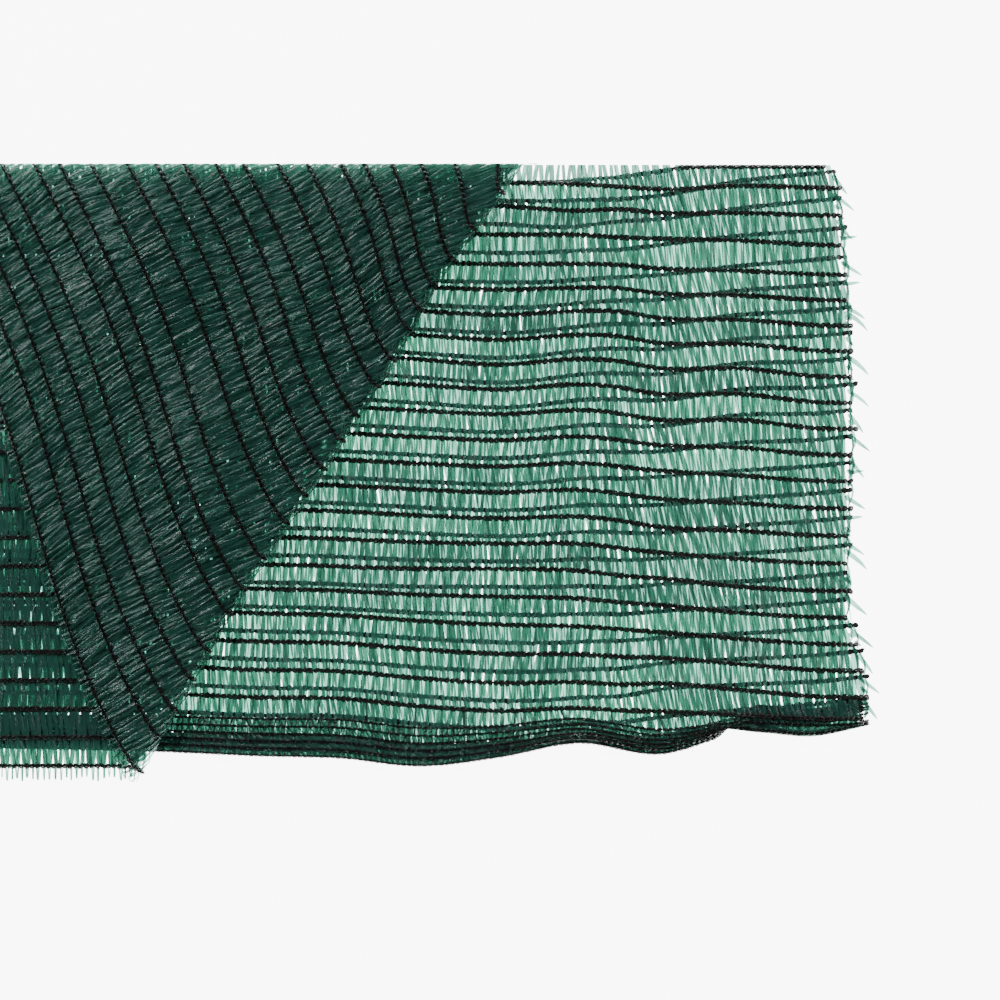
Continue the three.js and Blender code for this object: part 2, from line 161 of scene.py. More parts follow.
# How far the base layers' tape legs lean besides, and how much more towards the cut
BASE_LEAN = 0.3
CUT_LEAN = 0.9
CUT_LEAN_FROM = 190
CUT_LEAN_TO = 230

# Widths as shares of the usual one
UPPER_TAPE_SHARE = 1.02
LOWER_TAPE_SHARE = 1.16
SELVEDGE_TAPE_SHARE = 1.6
COVER_TAPE_SHARE = 1.1
CENTRE_TAPE_SHARE = 0.5
THREAD_SHARE = 0.3
SELVEDGE_CHAIN_SHARE = 0.52
FLAP_CHAIN_SHARE = 0.56

# Where the selvedge's cross threads end, and which of the threads beside it are kept
THREADS_END = 238
STRAY_THREAD_STEP = 9

# The chain beside the top cut, which shows only in part of each base layer
UPPER_EDGE_LINE = -0.86
UPPER_EDGE_FROM = 222
LOWER_EDGE_FROM = 150
LOWER_EDGE_TO = 226

# Fine stitches begin this far before the crease, on the base and on the turned corner. A chain that is
# covered all along is plain up to a place past every end, and a base chain meets the crease about where its
# height midway says
BASE_FINE_MARGIN = 6
FLAP_FINE_MARGIN = 4
PAST_EVERY_END = 400
MIDWAY = 120.0

# What the random draws of each kind of piece start from
TAPE_SEED = 41
CHAIN_SEED = 23
THREAD_SEED = 67
LOOSE_SEED = 90

# Which fold a piece of the knit lies on
UPPER_BASE, LOWER_BASE, COVER_TOP, COVER_UNDER, CENTRE_FOLD, OUTER_TOP_FOLD, INNER_TOP_FOLD = range(7)


def chart(table, at):
    """Reads a two-column table at any place, and runs on straight past its ends."""
    keys, values = table[:, 0], table[:, 1]
    i = np.clip(np.searchsorted(keys, at) - 1, 0, len(keys) - 2)
    share = (at - keys[i]) / (keys[i + 1] - keys[i])
    return values[i] + (values[i + 1] - values[i]) * share


def smooth_chart(keys, values, at):
    """A curve through a table's values, straight past its ends."""
    slopes = np.gradient(values, keys)
    i = np.clip(np.searchsorted(keys, at) - 1, 0, len(keys) - 2)
    span = keys[i + 1] - keys[i]
    t = np.clip((at - keys[i]) / span, 0, 1)
    beyond = at - keys[i] - t * span
    inner = (1 + 2 * t) * (1 - t) ** 2 * values[i] + t * (1 - t) ** 2 * span * slopes[i]
    outer = t * t * (3 - 2 * t) * values[i + 1] + t * t * (t - 1) * span * slopes[i + 1]
    return inner + outer + beyond * np.where(at < keys[0], slopes[0], slopes[-1])


def soft_step(value, low, high):
    share = np.clip((value - low) / (high - low), 0, 1)
    return share * share * (3 - 2 * share)


def rise(spots, x, y):
    """Height of the soft rises, each faded out at its rim."""
    height = np.zeros_like(x)
    for centre_x, centre_y, long, wide, high in spots:
        away = ((x - centre_x) / long) ** 2 + ((y - centre_y) / wide) ** 2
        height += high * np.clip(1 - away, 0, None) ** 2
    return height


def crease_edge(y):
    return chart(CREASE, y)


def crease_axis(y):
    return crease_edge(y) - CREASE_BULGE / math.sin(STEEPNESS)


def cross_cut(line):
    return chart(CROSS_CUT, line)


def line_height(line, x):
    """Height above the centre fold of any chain line of the upper base layer."""
    names = list(LINES)
    numbers = np.array([LINES[name] for name in names])
    heights = [np.full_like(x, TOP)]
    heights += [smooth_chart(BASE["x"], BASE[name], x) for name in names[1:]]
    heights = np.array(heights)
    i = np.clip(np.searchsorted(numbers, line) - 1, 0, len(numbers) - 2)
    share = (line - numbers[i]) / (numbers[i + 1] - numbers[i])
    each = np.arange(len(x))
    return heights[i, each] + (heights[i + 1, each] - heights[i, each]) * share


# How far single chains lie below an even spacing: the line, then the sag at each place along it, and how far
# before the first place it still changes. The sags come from the same trace, not chosen by hand
SAG_RUN_ON = 20
SAG_X = np.array([141, 166, 191, 204, 216, 242, 267])
SAGS = np.array([
    (-1, 0, 0, 0, 0, 0, 0, 0),
    (0, -0.3, -0.6, -1, -0.3, 0.4, -0.8, -0.5),
    (1, 0, 0.3, 0, -1, 0, 0.2, 0),
    (2, 1, 1.2, -0.3, 0, 0, 0.7, 1),
    (3, 2.1, 2.3, 1.2, 0.8, 1.4, 2.2, 1.9),
    (5, 1.2, 1.7, 0.2, -0.6, 0.5, 1.2, 1.1),
    (7, 0.2, 0.9, -0.4, -0.9, 0, 0.2, 0.4),
    (9, 0.1, 0, 0, -0.4, 0, 0.1, 0),
    (11, 0.2, -0.1, -0.3, -0.6, -0.8, 0.4, -0.5),
    (13, 0, -0.3, -0.5, -0.4, 0.3, 0.5, -0.2),
    (15, 0.2, -1, -0.5, 0, -0.3, 0.9, 0.2),
    (17, 0, 0, 0, 0, 0, 0, 0),
    (19, 0.2, 0.2, 0.3, 0.3, -0.9, -0.4, 0.9),
    (21, 0, 0, 0, 0, 0, 0, 0),
])


def sag(line, x):
    lines = SAGS[:, 0]
    charted = np.clip(x, SAG_X[0] - SAG_RUN_ON, SAG_X[-1])
    along = np.stack([smooth_chart(SAG_X, row, charted) for row in SAGS[:, 1:]])
    i = np.clip(np.searchsorted(lines, line) - 1, 0, len(lines) - 2)
    share = np.clip((line - lines[i]) / (lines[i + 1] - lines[i]), 0, 1)
    spots = np.arange(len(x))
    return along[i, spots] * (1 - share) + along[i + 1, spots] * share


def tucked_share(x):
    """How far the hem is folded back under itself: wholly near the cut, not at all elsewhere."""
    return soft_step(x, TUCK_FROM, TUCK_TO)


def base_height(fold, line, x):
    """Height above the centre fold of a chain line of either base layer."""
    y = line_height(line, x) - sag(line, x)
    band = line_height(np.full_like(line, LINES["band"]), x)
    hem = line_height(np.full_like(line, LINES["hem"]), x)
    gone = np.clip((line - LINES["band"]) / TUCK_LINES, 0, 1)
    back = np.clip(line - LINES["band"] - TUCK_LINES, 0, None)
    under = band + (hem - band) * gone + TUCK_PITCH * back
    y = np.where(line > LINES["band"], y + tucked_share(x) * (under - y), y)
    fade = 1 - soft_step(line, LINES["last"], LINES["hem"])
    return np.where(fold == LOWER_BASE, y + fade * chart(LOWER_SHIFT, x), y)


def on_base(fold, line, across, x, h):
    """A point of a base layer: on or beside a chain line, at x along it and h off the cloth's middle."""
    pitch = base_height(fold, line - 0.5, x) - base_height(fold, line + 0.5, x)
    pitch = np.where(np.abs(pitch) > LEAST_PITCH, pitch, LEAST_PITCH)
    line = line - across / pitch
    y = base_height(fold, line, x)
    upper = fold == UPPER_BASE
    open_share = soft_step(x - crease_edge(y), BASE_RISES_FROM, BASE_RISES_TO)
    banded = np.clip((line - LINES["band"]) / (LINES["hem"] - LINES["band"]), 0, None)
    swell = np.sin(math.pi * np.minimum(1, banded / RUFFLE_REACH))
    ruffle = smooth_chart(BASE["x"], BASE["ruffle"], x) * swell
    lift = open_share * (rise(BASE_RISES, x, y) + np.maximum(ruffle, 0) * (1 - tucked_share(x)))
    under = tucked_share(x) * np.clip((line - LINES["band"] - TUCK_LINES) / TUCK_TURN, 0, 1)
    upper_z = layer_middle(2) + lift + h - UPPER_TUCK_DROP * under
    lower_z = layer_middle(1) - h + LOWER_TUCK_RISE * under
    z = np.maximum(np.where(upper, upper_z, lower_z), 0)
    return np.stack([x, y, z], 1)


ALONG = np.array([math.cos(STEEPNESS), math.sin(STEEPNESS)])
OUT = np.array([math.sin(STEEPNESS), -math.cos(STEEPNESS)])
SCALLOP = 0.55


def cover_height(line, x):
    """Height above the centre fold of a chain line of the covering pair."""
    settle = chart(FLAP_SETTLE, line) * soft_step(x, SETTLE_FROM, SETTLE_TO)
    return CENTRE_CHAIN_Y + FLAP_PITCH * line + settle


COVER_LINES = np.arange(FLAP_CHAINS)


def flap_length(y):
    return np.hypot(crease_axis(y) - chart(FLAP_ROWS, y), TOP - y)


def crease_length(z):
    return math.pi * (CREASE_HEIGHT - z) / math.sin(STEEPNESS)


def on_cover(y, z, facing_y, facing_z, along, h):
    """A point of the covering pair: flat, round the crease, then back over itself to the top cut."""
    axis = crease_axis(y)
    radius = CREASE_HEIGHT - z
    top = chart(FLAP_ROWS, y)
    length = flap_length(y)
    angle = math.pi * np.clip((along - axis) / crease_length(z), 0, 1)
    turned = (along - axis - crease_length(z)) / length
    sine, cosine = np.sin(angle), np.cos(angle)
    line = np.interp(y, cover_height(COVER_LINES, SETTLE_TO), COVER_LINES)
    bulge = SCALLOP * np.abs(np.sin(math.pi * line))
    reach = (radius + bulge) * sine
    sway = -FLAP_SWAY * length * np.sin(2 * math.pi * np.clip(turned, 0, 1) ** FLAP_SWAY_LEAN)
    over = np.clip(turned, 0, None)
    x = np.where(along < axis, along, axis + OUT[0] * reach + (top - axis) * over + sway)
    row_y = y + OUT[1] * reach + (TOP - y) * over
    height = CREASE_HEIGHT - radius * cosine
    height = height + np.where(turned > 0, rise(FLAP_RISES, x, row_y) * soft_step(turned * length, 0, 8), 0)
    out = facing_y * OUT[1]
    across = out * cosine - facing_z * sine
    facing = np.stack([
        ALONG[0] * facing_y * ALONG[1] + OUT[0] * across,
        ALONG[1] * facing_y * ALONG[1] + OUT[1] * across,
        out * sine + facing_z * cosine,
    ], 1)
    return np.stack([x, row_y, height], 1) + facing * h[:, None]


def round_fold(share, start, finish, fold_y, middle_z, radius, towards):
    """A path across a fold: straight to it, half way round, and back. Gives y, z and the way it faces."""
    ahead = np.abs(fold_y - start)
    turn = math.pi * radius
    behind = np.abs(fold_y - finish)
    gone = share * (ahead + turn + behind)
    angle = np.clip((gone - ahead) / radius, 0, math.pi)
    y = np.where(
        gone < ahead,
        start + towards * gone,
        fold_y + towards * radius * np.sin(angle) - towards * np.clip(gone - ahead - turn, 0, None),
    )
    z = middle_z + radius * np.cos(angle)
    return y, z, towards * np.sin(angle), np.cos(angle)


def fold_cloth(fold, line, weft, x, across, h):
    """Carries points of the flat knit onto the folds. Across is in millimetres beside a chain, or for the
    weft a share of the way to the next chain. On the centre fold, line is how far its loops reach."""
    place = np.zeros((len(x), 3))
    plain = fold <= COVER_UNDER
    line = np.where(weft & plain, line + across, line)
    across = np.where(weft & plain, 0, across)
    base = fold <= LOWER_BASE
    place[base] = on_base(fold[base], line[base], across[base], x[base], h[base])
    for code, number, facing in ((COVER_TOP, 4, 1), (COVER_UNDER, 3, -1)):
        here = fold == code
        y = cover_height(line[here], x[here]) + across[here]
        level = np.full_like(y, layer_middle(number))
        place[here] = on_cover(y, level, 0 * y, 0 * y + facing, x[here], h[here])
    here = fold == CENTRE_FOLD
    radius = layer_middle(4) - CENTRE_FOLD_HEIGHT
    share, loop_reach = across[here], line[here]
    y, z, facing_y, facing_z = round_fold(
        share, CENTRE_CHAIN_Y, CENTRE_CHAIN_Y, CENTRE_FOLD_Y, CENTRE_FOLD_HEIGHT, radius, -1
    )
    y = CENTRE_CHAIN_Y + (y - CENTRE_CHAIN_Y) * loop_reach
    place[here] = on_cover(y, z, facing_y, facing_z, x[here], h[here])
    top_folds = ((OUTER_TOP_FOLD, 1, 4, LOWER_BASE), (INNER_TOP_FOLD, -1, 3, UPPER_BASE))
    for code, inside, cover_layer, base_layer in top_folds:
        here = fold == code
        radius = layer_middle(cover_layer) - TOP_FOLD_HEIGHT
        nothing = np.zeros(here.sum())
        finish = np.minimum(base_height(np.full(here.sum(), base_layer), nothing, x[here]), TOP_FOLD_Y)
        start = nothing + CENTRE_CHAIN_Y + FLAP_PITCH * (FLAP_CHAINS - 1)
        y, z, facing_y, facing_z = round_fold(
            across[here], start, finish, TOP_FOLD_Y, TOP_FOLD_HEIGHT, radius, 1
        )
        off = inside * h[here]
        place[here] = np.stack([x[here], y + facing_y * off, z + facing_z * off], 1)
    return place


# Where the cloth's own frame lies in the part's
net_low, net_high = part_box("net_sheet")
SHIFT = np.array([net_low.x * 1000, net_high.y * 1000 - TOP, 0])


def in_metres(place):
    return (place + SHIFT) / 1000


class Term:
    """An output of a node, which sums and products can be written with."""

    def __init__(self, tree, node, output=0):
        self.tree, self.node = tree, node
        self.socket = node.outputs[output] if len(node.outputs) else None

    def __getitem__(self, output):
        return Term(self.tree, self.node, output)

    def maths(self, operation, *terms):
        return self.tree.add("ShaderNodeMath", {"operation": operation}, dict(enumerate(terms)))

    def __add__(self, other):
        return self.maths("ADD", self, other)

    def __rsub__(self, other):
        return self.maths("SUBTRACT", other, self)

    def __mul__(self, other):
        return self.maths("MULTIPLY", self, other)

    __radd__ = __add__


class NodeTree:
    """A node tree that is built up from the code, for a material or for geometry."""

    def __init__(self, tree):
        self.tree = tree

    def add(self, kind, settings=None, sockets=None):
        """One node: its settings first, then a number, a colour or another node's output for each socket."""
        node = self.tree.nodes.new(kind)
        for name, value in (settings or {}).items():
            setattr(node, name, value)
        for name, value in (sockets or {}).items():
            if isinstance(value, Term):
                self.tree.links.new(value.socket, node.inputs[name])
            else:
                node.inputs[name].default_value = value
        return Term(self, node)


def knitting_tree():
    """Lays a unit of knit on each point, in its own size and turn, and makes it one mesh."""
    group = bpy.data.node_groups.new("lay_knit", "GeometryNodeTree")
    face = group.interface
    face.new_socket("Geometry", in_out="INPUT", socket_type="NodeSocketGeometry")
    for name, kind in (
        ("Units", "NodeSocketCollection"),
        ("Finish", "NodeSocketMaterial"),
        ("Seed", "NodeSocketInt"),
        ("Size Spread", "NodeSocketFloat"),
        ("Roll Spread", "NodeSocketFloat"),
    ):
        face.new_socket(name, in_out="INPUT", socket_type=kind)
    face.new_socket("Geometry", in_out="OUTPUT", socket_type="NodeSocketGeometry")
    tree = NodeTree(group)
    given = tree.add("NodeGroupInput")
    spread = tree.add(
        "FunctionNodeRandomValue",
        {"data_type": "FLOAT"},
        {2: 1 - given["Size Spread"], 3: 1 + given["Size Spread"], "Seed": given["Seed"]},
    )[1]
    roll = tree.add(
        "FunctionNodeRandomValue",
        {"data_type": "FLOAT"},
        {2: 0 - given["Roll Spread"], 3: given["Roll Spread"], "Seed": given["Seed"] + 1},
    )[1]
    chance = tree.add(
        "FunctionNodeRandomValue", {"data_type": "FLOAT"}, {2: -0.5, 3: 0.5, "Seed": given["Seed"] + 2}
    )[1]
    shade = tree.add("GeometryNodeInputNamedAttribute", {"data_type": "FLOAT"}, {"Name": "shade"})
    tilt = tree.add("GeometryNodeInputNamedAttribute", {"data_type": "FLOAT"}, {"Name": "tilt"})
    size = tree.add("GeometryNodeInputNamedAttribute", {"data_type": "FLOAT_VECTOR"}, {"Name": "size"})
    width = tree.add("ShaderNodeCombineXYZ", None, {"X": spread, "Y": 1.0, "Z": 1.0})
    scale = tree.add("ShaderNodeVectorMath", {"operation": "MULTIPLY"}, {0: size, 1: width})
    kind = tree.add("GeometryNodeInputNamedAttribute", {"data_type": "INT"}, {"Name": "kind"})
    units = tree.add(
        "GeometryNodeCollectionInfo",
        None,
        {"Collection": given["Units"], "Separate Children": True, "Reset Children": True},
    )
    turn = tree.add("ShaderNodeCombineXYZ", None, {"X": 0.0, "Y": roll + tilt, "Z": 0.0})
    rotation = tree.add("FunctionNodeEulerToRotation", None, {"Euler": turn})
    laid = tree.add(
        "GeometryNodeInstanceOnPoints",
        None,
        {
            "Points": given["Geometry"],
            "Instance": units,
            "Pick Instance": True,
            "Instance Index": kind,
            "Rotation": rotation,
            "Scale": scale,
        },
    )
    toned = tree.add(
        "GeometryNodeStoreNamedAttribute",
        {"data_type": "FLOAT", "domain": "INSTANCE"},
        {"Geometry": laid, "Name": "tone", "Value": shade + chance * 0.6},
    )
    real = tree.add("GeometryNodeRealizeInstances", None, {"Geometry": toned})
    slant = tree.add("GeometryNodeInputNamedAttribute", {"data_type": "FLOAT"}, {"Name": "slant"})
    place = tree.add("GeometryNodeInputPosition")
    parts = tree.add("ShaderNodeSeparateXYZ", None, {0: place})
    lean = tree.add("ShaderNodeCombineXYZ", None, {"X": slant * parts["Y"], "Y": 0.0, "Z": 0.0})
    leaning = tree.add("GeometryNodeSetPosition", None, {"Geometry": real, "Offset": lean})
    finished = tree.add("GeometryNodeSetMaterial", None, {"Geometry": leaning, "Material": given["Finish"]})
    tree.add("NodeGroupOutput", None, {"Geometry": finished})
    return group


KNITTING = knitting_tree()


def mesh_object(name, points, faces, spread=None):
    """A new object. Spread gives each point's place on the piece's own flat pattern."""
    mesh = bpy.data.meshes.new(name)
    mesh.from_pydata([tuple(p) for p in points], [], faces)
    if spread is not None:
        pattern = mesh.uv_layers.new(name="UVMap")
        for loop in mesh.loops:
            pattern.data[loop.index].uv = spread[loop.vertex_index]
    made = bpy.data.objects.new(name, mesh)
    bpy.context.scene.collection.objects.link(made)
    return made


def units_collection(name, shapes):
    """The shapes that a tree may choose from, kept out of the scene."""
    kept = bpy.data.collections.new(name)
    for number, shape in enumerate(shapes):
        unit = mesh_object(f"{name}_{number}", *shape)
        bpy.context.scene.collection.objects.unlink(unit)
        kept.objects.link(unit)
    return kept


# What each point of the flat knit carries besides its place along the chains and its unit's size
COLUMNS = {
    "fold": "INT", "line": "FLOAT", "weft": "INT", "kind": "INT",
    "slant": "FLOAT", "tilt": "FLOAT", "shade": "FLOAT",
}


def knit(name, units, finish, rows, seed, size_spread, roll_spread):
    """Lays units on the flat knit's points by geometry nodes, as one flat mesh."""
    mesh = bpy.data.meshes.new(name + "_points")
    count = len(rows["x"])
    mesh.vertices.add(count)
    places = np.zeros((count, 3), np.float32)
    places[:, 0] = rows["x"]
    mesh.vertices.foreach_set("co", places.ravel())
    for column, kind in COLUMNS.items():
        column_values = rows[column].astype(np.int32 if kind == "INT" else np.float32)
        mesh.attributes.new(column, kind, "POINT").data.foreach_set("value", column_values)
    mesh.attributes.new("size", "FLOAT_VECTOR", "POINT").data.foreach_set(
        "vector", rows["size"].astype(np.float32).ravel()
    )
    seeds = bpy.data.objects.new(name + "_points", mesh)
    bpy.context.scene.collection.objects.link(seeds)
    laying = seeds.modifiers.new("lay_knit", "NODES")
    laying.node_group = KNITTING
    inputs = {s.name: s.identifier for s in KNITTING.interface.items_tree if s.in_out == "INPUT"}
    laying[inputs["Units"]] = units
    laying[inputs["Finish"]] = finish
    laying[inputs["Seed"]] = seed
    laying[inputs["Size Spread"]] = size_spread
    laying[inputs["Roll Spread"]] = roll_spread
    graph = bpy.context.evaluated_depsgraph_get()
    knitted = bpy.data.meshes.new_from_object(seeds.evaluated_get(graph))
    bpy.data.objects.remove(seeds)
    return knitted


def read(mesh, name, kind=float):
    values = np.zeros(len(mesh.vertices), np.int32 if kind is int else np.float32)
    mesh.attributes[name].data.foreach_get("value", values)
    return values.astype(kind)


def folded(name, knitted, finish, mirrored=False):
    """A piece of the scene from a flat knitted mesh, on the folds and trimmed at the two plain cuts."""
    count = len(knitted.vertices)
    flat = np.zeros(count * 3, np.float32)
    knitted.vertices.foreach_get("co", flat)
    x, across, h = flat.reshape(-1, 3).astype(float).T
    weft = read(knitted, "weft", int) == 1
    place = fold_cloth(read(knitted, "fold", int), read(knitted, "line"), weft, x, across, h)
    knitted.vertices.foreach_set("co", in_metres(place).astype(np.float32).ravel())
    if mirrored:
        knitted.flip_normals()
    trimmed = bmesh.new()
    trimmed.from_mesh(knitted)
    corner = in_metres(np.array([0, TOP, 0]))
    for facing in ((-1, 0, 0), (0, 1, 0)):
        everything = trimmed.verts[:] + trimmed.edges[:] + trimmed.faces[:]
        bmesh.ops.bisect_plane(trimmed, geom=everything, plane_co=corner, plane_no=facing, clear_outer=True)
    trimmed.to_mesh(knitted)
    trimmed.free()
    for spare in (*COLUMNS, "size"):
        if spare in knitted.attributes:
            knitted.attributes.remove(knitted.attributes[spare])
    knitted.materials.clear()
    knitted.materials.append(finish)
    knitted.name = name
    knitted.update()
    made = bpy.data.objects.new(name, knitted)
    bpy.context.scene.collection.objects.link(made)
    return made


def tube(path, radius, sides, closed):
    """Rings round a path that lies about level, and the faces between them."""
    path = np.array(path, float)
    if closed:
        ahead, behind = np.roll(path, -1, 0), np.roll(path, 1, 0)
    else:
        ahead, behind = np.vstack([path[1:], path[-1:]]), np.vstack([path[:1], path[:-1]])
    course = ahead - behind
    course /= np.linalg.norm(course, axis=1)[:, None]
    side = np.cross(course, (0, 0, 1))
    side /= np.linalg.norm(side, axis=1)[:, None]
    up = np.cross(side, course)
    points = []
    for centre, beside, above in zip(path, side, up):
        for number in range(sides):
            turn = 2 * math.pi * number / sides + math.pi / 2
            points.append(centre + radius * (math.cos(turn) * beside + math.sin(turn) * above))
    faces = []
    rings = len(path)
    for ring in range(rings if closed else rings - 1):
        following = (ring + 1) % rings
        for number in range(sides):
            beyond = (number + 1) % sides
            faces.append((
                ring * sides + number, following * sides + number,
                following * sides + beyond, ring * sides + beyond,
            ))
    if not closed:
        faces.append(tuple(range(sides)))
        faces.append(tuple((rings - 1) * sides + number for number in reversed(range(sides))))
    return points, faces


def joined(*shapes):
    points, faces = [], []
    for more, shape_faces in shapes:
        faces += [tuple(number + len(points) for number in face) for face in shape_faces]
        points += list(more)
    return points, faces


# A stitch: a loop of yarn with its foot in the loop before, fine or plain, and the strand under it
FINE_LOOP = (
    (-0.78, 0, -0.02), (0.1, 0.46, 0.18), (0.95, 0.38, 0.34),
    (1.18, 0, 0.26), (0.95, -0.38, 0.34), (0.1, -0.46, 0.18),
)
PLAIN_LOOP = ((-0.8, 0, 0), (0.3, 0.4, 0.22), (1.15, 0.2, 0.3), (1.15, -0.2, 0.3), (0.3, -0.4, 0.22))
UNDER_STRAND = ((-0.9, 0.06, -0.08), (0.9, -0.06, -0.08))
BACK_STRAND = ((-0.72, 0.12, -0.24), (0.78, -0.12, -0.34))
stitch_units = units_collection("stitch", [
    joined(tube(FINE_LOOP, YARN_RADIUS, 3, True), tube(UNDER_STRAND, YARN_RADIUS * 1.1, 3, False)),
    joined(tube(PLAIN_LOOP, YARN_RADIUS * 1.2, 3, True), tube(BACK_STRAND, YARN_RADIUS * 1.9, 3, False)),
])


def tape(stations, crease_side):
    """A tape that runs from one chain to the next, creased along its length. Each station gives its share of
    the way, half width, height, twist, and how far the crease stands up."""
    points, faces, spread = [], [], []
    for number, (share, half_width, height, twist, stands) in enumerate(stations):
        points.append((-half_width, share, height - twist))
        points.append((crease_side * half_width, share, height + stands))
        points.append((half_width, share, height + twist))
        spread += [(0, share), (0.5 + crease_side / 2, share), (1, share)]
        if number:
            last = 3 * number
            faces.append((last - 3, last - 2, last + 1, last))
            faces.append((last - 2, last - 1, last + 2, last + 1))
    return points, faces, spread


tape_units = units_collection("tape", [
    tape(
        (
            (-0.05, 0.42, 0, 0, 0.04), (0.3, 0.5, -0.04, 0.14, 0.1),
            (0.7, 0.5, 0, -0.1, 0.14), (1.05, 0.44, 0, 0.1, 0),
        ),
        -0.3,
    ),
    tape(
        (
            (-0.05, 0.4, 0, 0.12, 0), (0.3, 0.52, 0, -0.14, 0.16),
            (0.7, 0.48, 0.02, 0.08, 0.1), (1.05, 0.4, 0, 0, 0.05),
        ),
        0.2,
    ),
    tape(
        (
            (-0.05, 0.44, 0, -0.1, 0), (0.3, 0.48, 0.05, 0.16, -0.1),
            (0.7, 0.52, 0, 0.02, -0.12), (1.05, 0.4, 0, 0, 0),
        ),
        0.1,
    ),
    tape(
        (
            (-0.05, 0.36, 0, 0, 0.1), (0.3, 0.44, -0.05, 0.12, 0.2),
            (0.7, 0.46, 0, -0.16, 0.16), (1.05, 0.42, 0, 0.1, 0),
        ),
        0.3,
    ),
    tape([(share, 0.36, 0, 0, 0.03) for share in np.linspace(0, 1, 11)], 0),
])
ROUND_TAPE = 4


def wander(random, places, reach, step):
    """A slow random drift along a chain, within reach either way."""
    knots = np.arange(-step, places.max() + 2 * step, step)
    return smooth_chart(knots, random.uniform(-reach, reach, len(knots)), places)


def rows_of(**columns):
    return {name: np.asarray(value) for name, value in columns.items()}


def stacked(groups):
    return {name: np.concatenate([group[name] for group in groups]) for name in groups[0]}


def tape_row(random, fold, line, end, start=0.0, reach=1.0, wide=1.0):
    """The zigzag of tape in one gap between two chains, as far as the cloth goes."""
    count = int((end - start) / STITCH)
    number = np.arange(count)
    even = number % 2 == 0
    nominal = start + STITCH * (number + (0.5 if fold == LOWER_BASE else 0))
    drift = wander(random, nominal, reach=0.35, step=9)
    lean = wander(random, nominal, reach=1.2, step=26)
    if fold <= LOWER_BASE:
        lean += BASE_LEAN + CUT_LEAN * soft_step(nominal, CUT_LEAN_FROM, CUT_LEAN_TO)
    turn = np.where(even, ZIGZAG, -ZIGZAG) * STITCH
    slant = turn + lean + random.normal(0, 0.2, count)
    x = nominal + drift - slant / 2 + random.normal(0, 0.12, count)
    width = TAPE_WIDTH * wide * random.uniform(0.68, 1.14, count)
    if fold >= CENTRE_FOLD:
        kind = np.full(count, ROUND_TAPE)
    else:
        kind = random.integers(0, ROUND_TAPE, count)
    uneven = random.uniform(-0.2, 0.2, count) if fold == CENTRE_FOLD else 0
    return rows_of(
        fold=np.full(count, fold),
        line=np.full(count, float(line)) + uneven,
        weft=np.ones(count),
        x=x,
        slant=slant,
        tilt=wander(random, nominal, reach=0.14, step=10),
        shade=0.5 + wander(random, nominal, reach=0.25, step=34) + random.uniform(-0.3, 0.3),
        kind=kind,
        size=np.stack([width, np.full(count, reach), np.ones(count)], 1),
    )


def cover_end(y, number):
    """How far along a chain of the covering pair the cloth goes, to the top cut or the left one."""
    z = np.full_like(y, layer_middle(number))
    axis, top = crease_axis(y), chart(FLAP_ROWS, y)
    whole = np.where(top < 0, axis / (axis - np.minimum(top, 0)), 1)
    return axis + crease_length(z) + flap_length(y) * whole


def base_end(line):
    return float(cross_cut(np.array([float(line)]))[0])


def tape_rows():
    """The zigzags of every gap of the whole cloth, from one selvedge to the other."""
    random = np.random.default_rng(TAPE_SEED)
    groups = []
    joined_end = JOINED_SHARE * float(crease_axis(np.array([TOP_FOLD_Y]))[0])
    for fold, share in ((UPPER_BASE, UPPER_TAPE_SHARE), (LOWER_BASE, LOWER_TAPE_SHARE)):
        groups.append(tape_row(random, fold, LINES["top"], base_end(0), reach=-LINES["top"]))
        for line in range(BASE_CHAINS):
            groups.append(tape_row(random, fold, line, base_end(line + 0.5), wide=share))
        for line in range(BASE_CHAINS, BASE_CHAINS + SELVEDGE_CHAINS - 1):
            groups.append(tape_row(random, fold, line, base_end(BASE_CHAINS), wide=SELVEDGE_TAPE_SHARE))
    for fold, number, beyond in ((COVER_TOP, 4, 1.25), (COVER_UNDER, 3, 0.64)):
        for chain in range(FLAP_CHAINS):
            sides = cover_height(np.array([chain, min(chain + 1.0, FLAP_CHAINS - 0.2)]), SETTLE_TO)
            begin = joined_end if chain == FLAP_CHAINS - 1 else 0.0
            end = cover_end(sides, number).max() + 3
            crease = crease_axis(sides).mean()
            groups.append(tape_row(random, fold, chain, crease, start=begin, wide=COVER_TAPE_SHARE))
            groups.append(tape_row(random, fold, chain, end, start=crease, wide=beyond))
    centre_end = cover_end(np.array([CENTRE_CHAIN_Y]), 3)[0] + 2
    groups.append(tape_row(random, CENTRE_FOLD, 1, centre_end, wide=CENTRE_TAPE_SHARE))
    for fold in (OUTER_TOP_FOLD, INNER_TOP_FOLD):
        groups.append(tape_row(random, fold, 0, joined_end))
    return stacked(groups)


def chain_row(random, fold, line, end, start=0.0, plain_before=0.0, wide=1.0):
    """One stitch chain. Stitches that are covered are plainer ones."""
    count = max(int((end - start) / STITCH), 1)
    x = start + STITCH * (np.arange(count) + 0.5) + random.normal(0, 0.06, count)
    width = wide * random.uniform(1.1, 1.5, count)
    return rows_of(
        fold=np.full(count, fold),
        line=np.full(count, float(line)),
        weft=np.zeros(count),
        x=x,
        slant=random.normal(0, 0.2, count),
        tilt=wander(random, x, reach=0.5, step=4),
        shade=np.full(count, 0.5),
        kind=np.where(x < plain_before, 1, 0),
        size=np.stack([np.ones(count), width, random.uniform(0.9, 1.15, count)], 1),
    )


